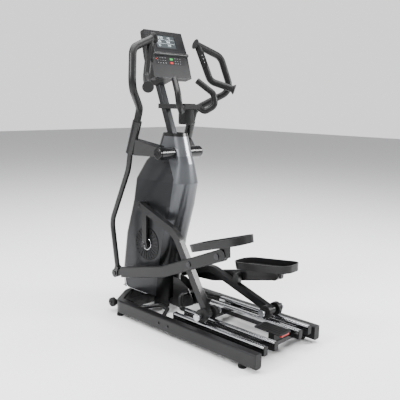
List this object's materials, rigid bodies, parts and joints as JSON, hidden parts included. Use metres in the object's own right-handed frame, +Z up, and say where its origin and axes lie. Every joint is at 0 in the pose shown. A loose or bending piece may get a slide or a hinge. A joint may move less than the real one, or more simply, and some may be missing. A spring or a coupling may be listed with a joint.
{
  "type": "elliptical trainer",
  "caption": "Front-drive elliptical trainer with roller legs on rails, swinging arms with grips, tray pedals, a tall shroud, a console on a mast and a bottle holder",
  "frame": {"origin": "on the floor under the middle of the machine's bounding box", "axes": "+Z up, +Y forward to the console and front tube, +X to the user's right"},
  "size_m": [0.878, 1.3325, 1.806],
  "materials": {
    "alloy": "as cast",
    "belt_rubber": "ribbed belt",
    "cap_silver": "silver metallic",
    "console_face": "satin dark grey",
    "crank_black": "satin black forging",
    "frame_black": "satin powder coat",
    "grip_foam": "fine textured foam over tube",
    "hub_steel": "gloss black caps on a steel bar",
    "iron": "machined rim",
    "key_green": "silicone",
    "key_red": "silicone",
    "keypad_film": "printed film",
    "latch_red": "satin",
    "mast_grey": "brushed dark grey",
    "pedal_plastic": "ribbed tray",
    "plastic_black": "fine texture",
    "pod_rubber": "silicone with pale marks",
    "rail_chrome": "bright extrusion",
    "roller_tyre": "cast polyurethane",
    "screen_glass": "lit liquid crystal panel behind clear plastic",
    "shell_black": "gloss black",
    "shell_grey": "dark grey metallic",
    "steel": "turned steel",
    "swing_black": "gloss black",
    "vent_dark": "fine matt",
    "wheel_plastic": "hard rubber",
    "zinc": "blackened steel"
  },
  "bodies": {
    "frame": {"bar_bracket": "frame_black", "belt_tensioner": "alloy", "bolts": "zinc", "bottle_holder": "plastic_black", "brake_magnet": "alloy", "console_back": "plastic_black", "console_front": "console_face", "console_screen": "screen_glass", "crank_bearings": "steel", "drive_belt": "belt_rubber", "end_caps": "plastic_black", "fixed_bars": "frame_black", "floor_beam_left": "frame_black", "floor_beam_right": "frame_black", "flywheel_axle": "steel", "frame_braces": "frame_black", "front_frame": "frame_black", "hub_axle": "hub_steel", "keypad": "keypad_film", "levelling_feet": "plastic_black", "lift_handle": "plastic_black", "lift_latch": "latch_red", "mast": "mast_grey", "power_inlet": "plastic_black", "rails": "rail_chrome", "ramp_frame": "frame_black", "shroud_cap": "cap_silver", "shroud_front": "shell_black", "shroud_left": "shell_grey", "shroud_right": "shell_grey", "shroud_spine": "shell_black", "upright_frame": "frame_black", "vent_discs": "vent_dark"},
    "crank": {"crank_axle": "steel", "crank_pulley": "alloy", "left_crank_arm": "crank_black", "right_crank_arm": "crank_black"},
    "flywheel": {"flywheel": "iron"},
    "start_key": {"start_key": "key_green"},
    "stop_key": {"stop_key": "key_red"},
    "wheel_left": {"transport_wheel_left": "wheel_plastic"},
    "wheel_right": {"transport_wheel_right": "wheel_plastic"},
    "left_carriage": {"left_roller_axle": "steel"},
    "left_leg": {"left_leg": "frame_black"},
    "left_roller_pair": {"left_rollers": "roller_tyre"},
    "left_swing": {"left_swing_arm": "swing_black", "left_hand_grip": "grip_foam"},
    "left_foot": {"left_foot_arm": "frame_black", "left_arm_bolts": "zinc", "left_pedal": "pedal_plastic"},
    "left_keys": {"left_pod_keys": "pod_rubber"},
    "right_carriage": {"right_roller_axle": "steel"},
    "right_leg": {"right_leg": "frame_black"},
    "right_roller_pair": {"right_rollers": "roller_tyre"},
    "right_swing": {"right_swing_arm": "swing_black", "right_hand_grip": "grip_foam"},
    "right_foot": {"right_foot_arm": "frame_black", "right_arm_bolts": "zinc", "right_pedal": "pedal_plastic"},
    "right_keys": {"right_pod_keys": "pod_rubber"}
  },
  "joints": [
    {"name": "crank_spin", "type": "hinge", "parent": "frame", "child": "crank", "pos_m": [0, 0.402, 0.463], "axis": [1, 0, 0], "range_deg": [0, 90]},
    {"name": "flywheel_spin", "type": "hinge", "parent": "frame", "child": "flywheel", "pos_m": [0, 0.33, 0.8], "axis": [1, 0, 0], "range_deg": [0, 620]},
    {"name": "left_carriage_travel", "type": "slide", "parent": "frame", "child": "left_carriage", "axis": [0, 1, 0], "range_m": [-0.4288, 0]},
    {"name": "left_leg_tilt", "type": "hinge", "parent": "left_carriage", "child": "left_leg", "pos_m": [0, -0.19688, 0.1638], "axis": [1, 0, 0], "range_deg": [-21.91, 0]},
    {"name": "left_roller_spin", "type": "hinge", "parent": "left_carriage", "child": "left_roller_pair", "pos_m": [0, -0.19688, 0.1638], "axis": [1, 0, 0], "range_deg": [0, 622.06]},
    {"name": "left_swing_tilt", "type": "hinge", "parent": "frame", "child": "left_swing", "pos_m": [0, 0.224, 1.063], "axis": [1, 0, 0], "range_deg": [-22.1, 0]},
    {"name": "left_foot_arm_tilt", "type": "hinge", "parent": "left_swing", "child": "left_foot", "pos_m": [0, 0.60645, 0.23837], "axis": [1, 0, 0], "range_deg": [0, 20.08]},
    {"name": "right_carriage_travel", "type": "slide", "parent": "frame", "child": "right_carriage", "axis": [0, 1, 0], "range_m": [0, 0.3199]},
    {"name": "right_leg_tilt", "type": "hinge", "parent": "right_carriage", "child": "right_leg", "pos_m": [0, -0.41496, 0.1638], "axis": [1, 0, 0], "range_deg": [0, 18.94]},
    {"name": "right_roller_spin", "type": "hinge", "parent": "right_carriage", "child": "right_roller_pair", "pos_m": [0, -0.41496, 0.1638], "axis": [1, 0, 0], "range_deg": [-464.05, 0]},
    {"name": "right_swing_tilt", "type": "hinge", "parent": "frame", "child": "right_swing", "pos_m": [0, 0.224, 1.063], "axis": [1, 0, 0], "range_deg": [0, 19.68]},
    {"name": "right_foot_arm_tilt", "type": "hinge", "parent": "right_swing", "child": "right_foot", "pos_m": [0, 0.57138, 0.223], "axis": [1, 0, 0], "range_deg": [-12.8, 0]},
    {"name": "start_key_press", "type": "slide", "parent": "frame", "child": "start_key", "axis": [0, 0.9589, -0.2836], "range_m": [0, 0.001], "stiffness_N_per_m": 900},
    {"name": "stop_key_press", "type": "slide", "parent": "frame", "child": "stop_key", "axis": [0, 0.9589, -0.2836], "range_m": [0, 0.001], "stiffness_N_per_m": 900},
    {"name": "left_pod_press", "type": "slide", "parent": "left_swing", "child": "left_keys", "axis": [-0.5922, 0.8054, 0.0257], "range_m": [0, 0.001], "stiffness_N_per_m": 900},
    {"name": "right_pod_press", "type": "slide", "parent": "right_swing", "child": "right_keys", "axis": [0.6012, 0.7991, -0.0038], "range_m": [0, 0.001], "stiffness_N_per_m": 900},
    {"name": "wheel_left_spin", "type": "hinge", "parent": "frame", "child": "wheel_left", "pos_m": [0, 0.552, 0.066], "axis": [1, 0, 0], "continuous": true},
    {"name": "wheel_right_spin", "type": "hinge", "parent": "frame", "child": "wheel_right", "pos_m": [0, 0.552, 0.066], "axis": [1, 0, 0], "continuous": true}
  ],
  "couplings": [
    {"joint": "flywheel_spin", "follows": "crank_spin", "ratio": 6.8182},
    {"joint": "left_carriage_travel", "follows": "crank_spin", "m_per_rad": -0.26766},
    {"joint": "left_leg_tilt", "follows": "crank_spin", "ratio": -0.23867},
    {"joint": "left_roller_spin", "follows": "crank_spin", "ratio": 6.7762},
    {"joint": "left_swing_tilt", "follows": "crank_spin", "ratio": -0.24077},
    {"joint": "left_foot_arm_tilt", "follows": "crank_spin", "ratio": 0.21873},
    {"joint": "right_carriage_travel", "follows": "crank_spin", "m_per_rad": 0.19967},
    {"joint": "right_leg_tilt", "follows": "crank_spin", "ratio": 0.20631},
    {"joint": "right_roller_spin", "follows": "crank_spin", "ratio": -5.055},
    {"joint": "right_swing_tilt", "follows": "crank_spin", "ratio": 0.2144},
    {"joint": "right_foot_arm_tilt", "follows": "crank_spin", "ratio": -0.13944}
  ]
}
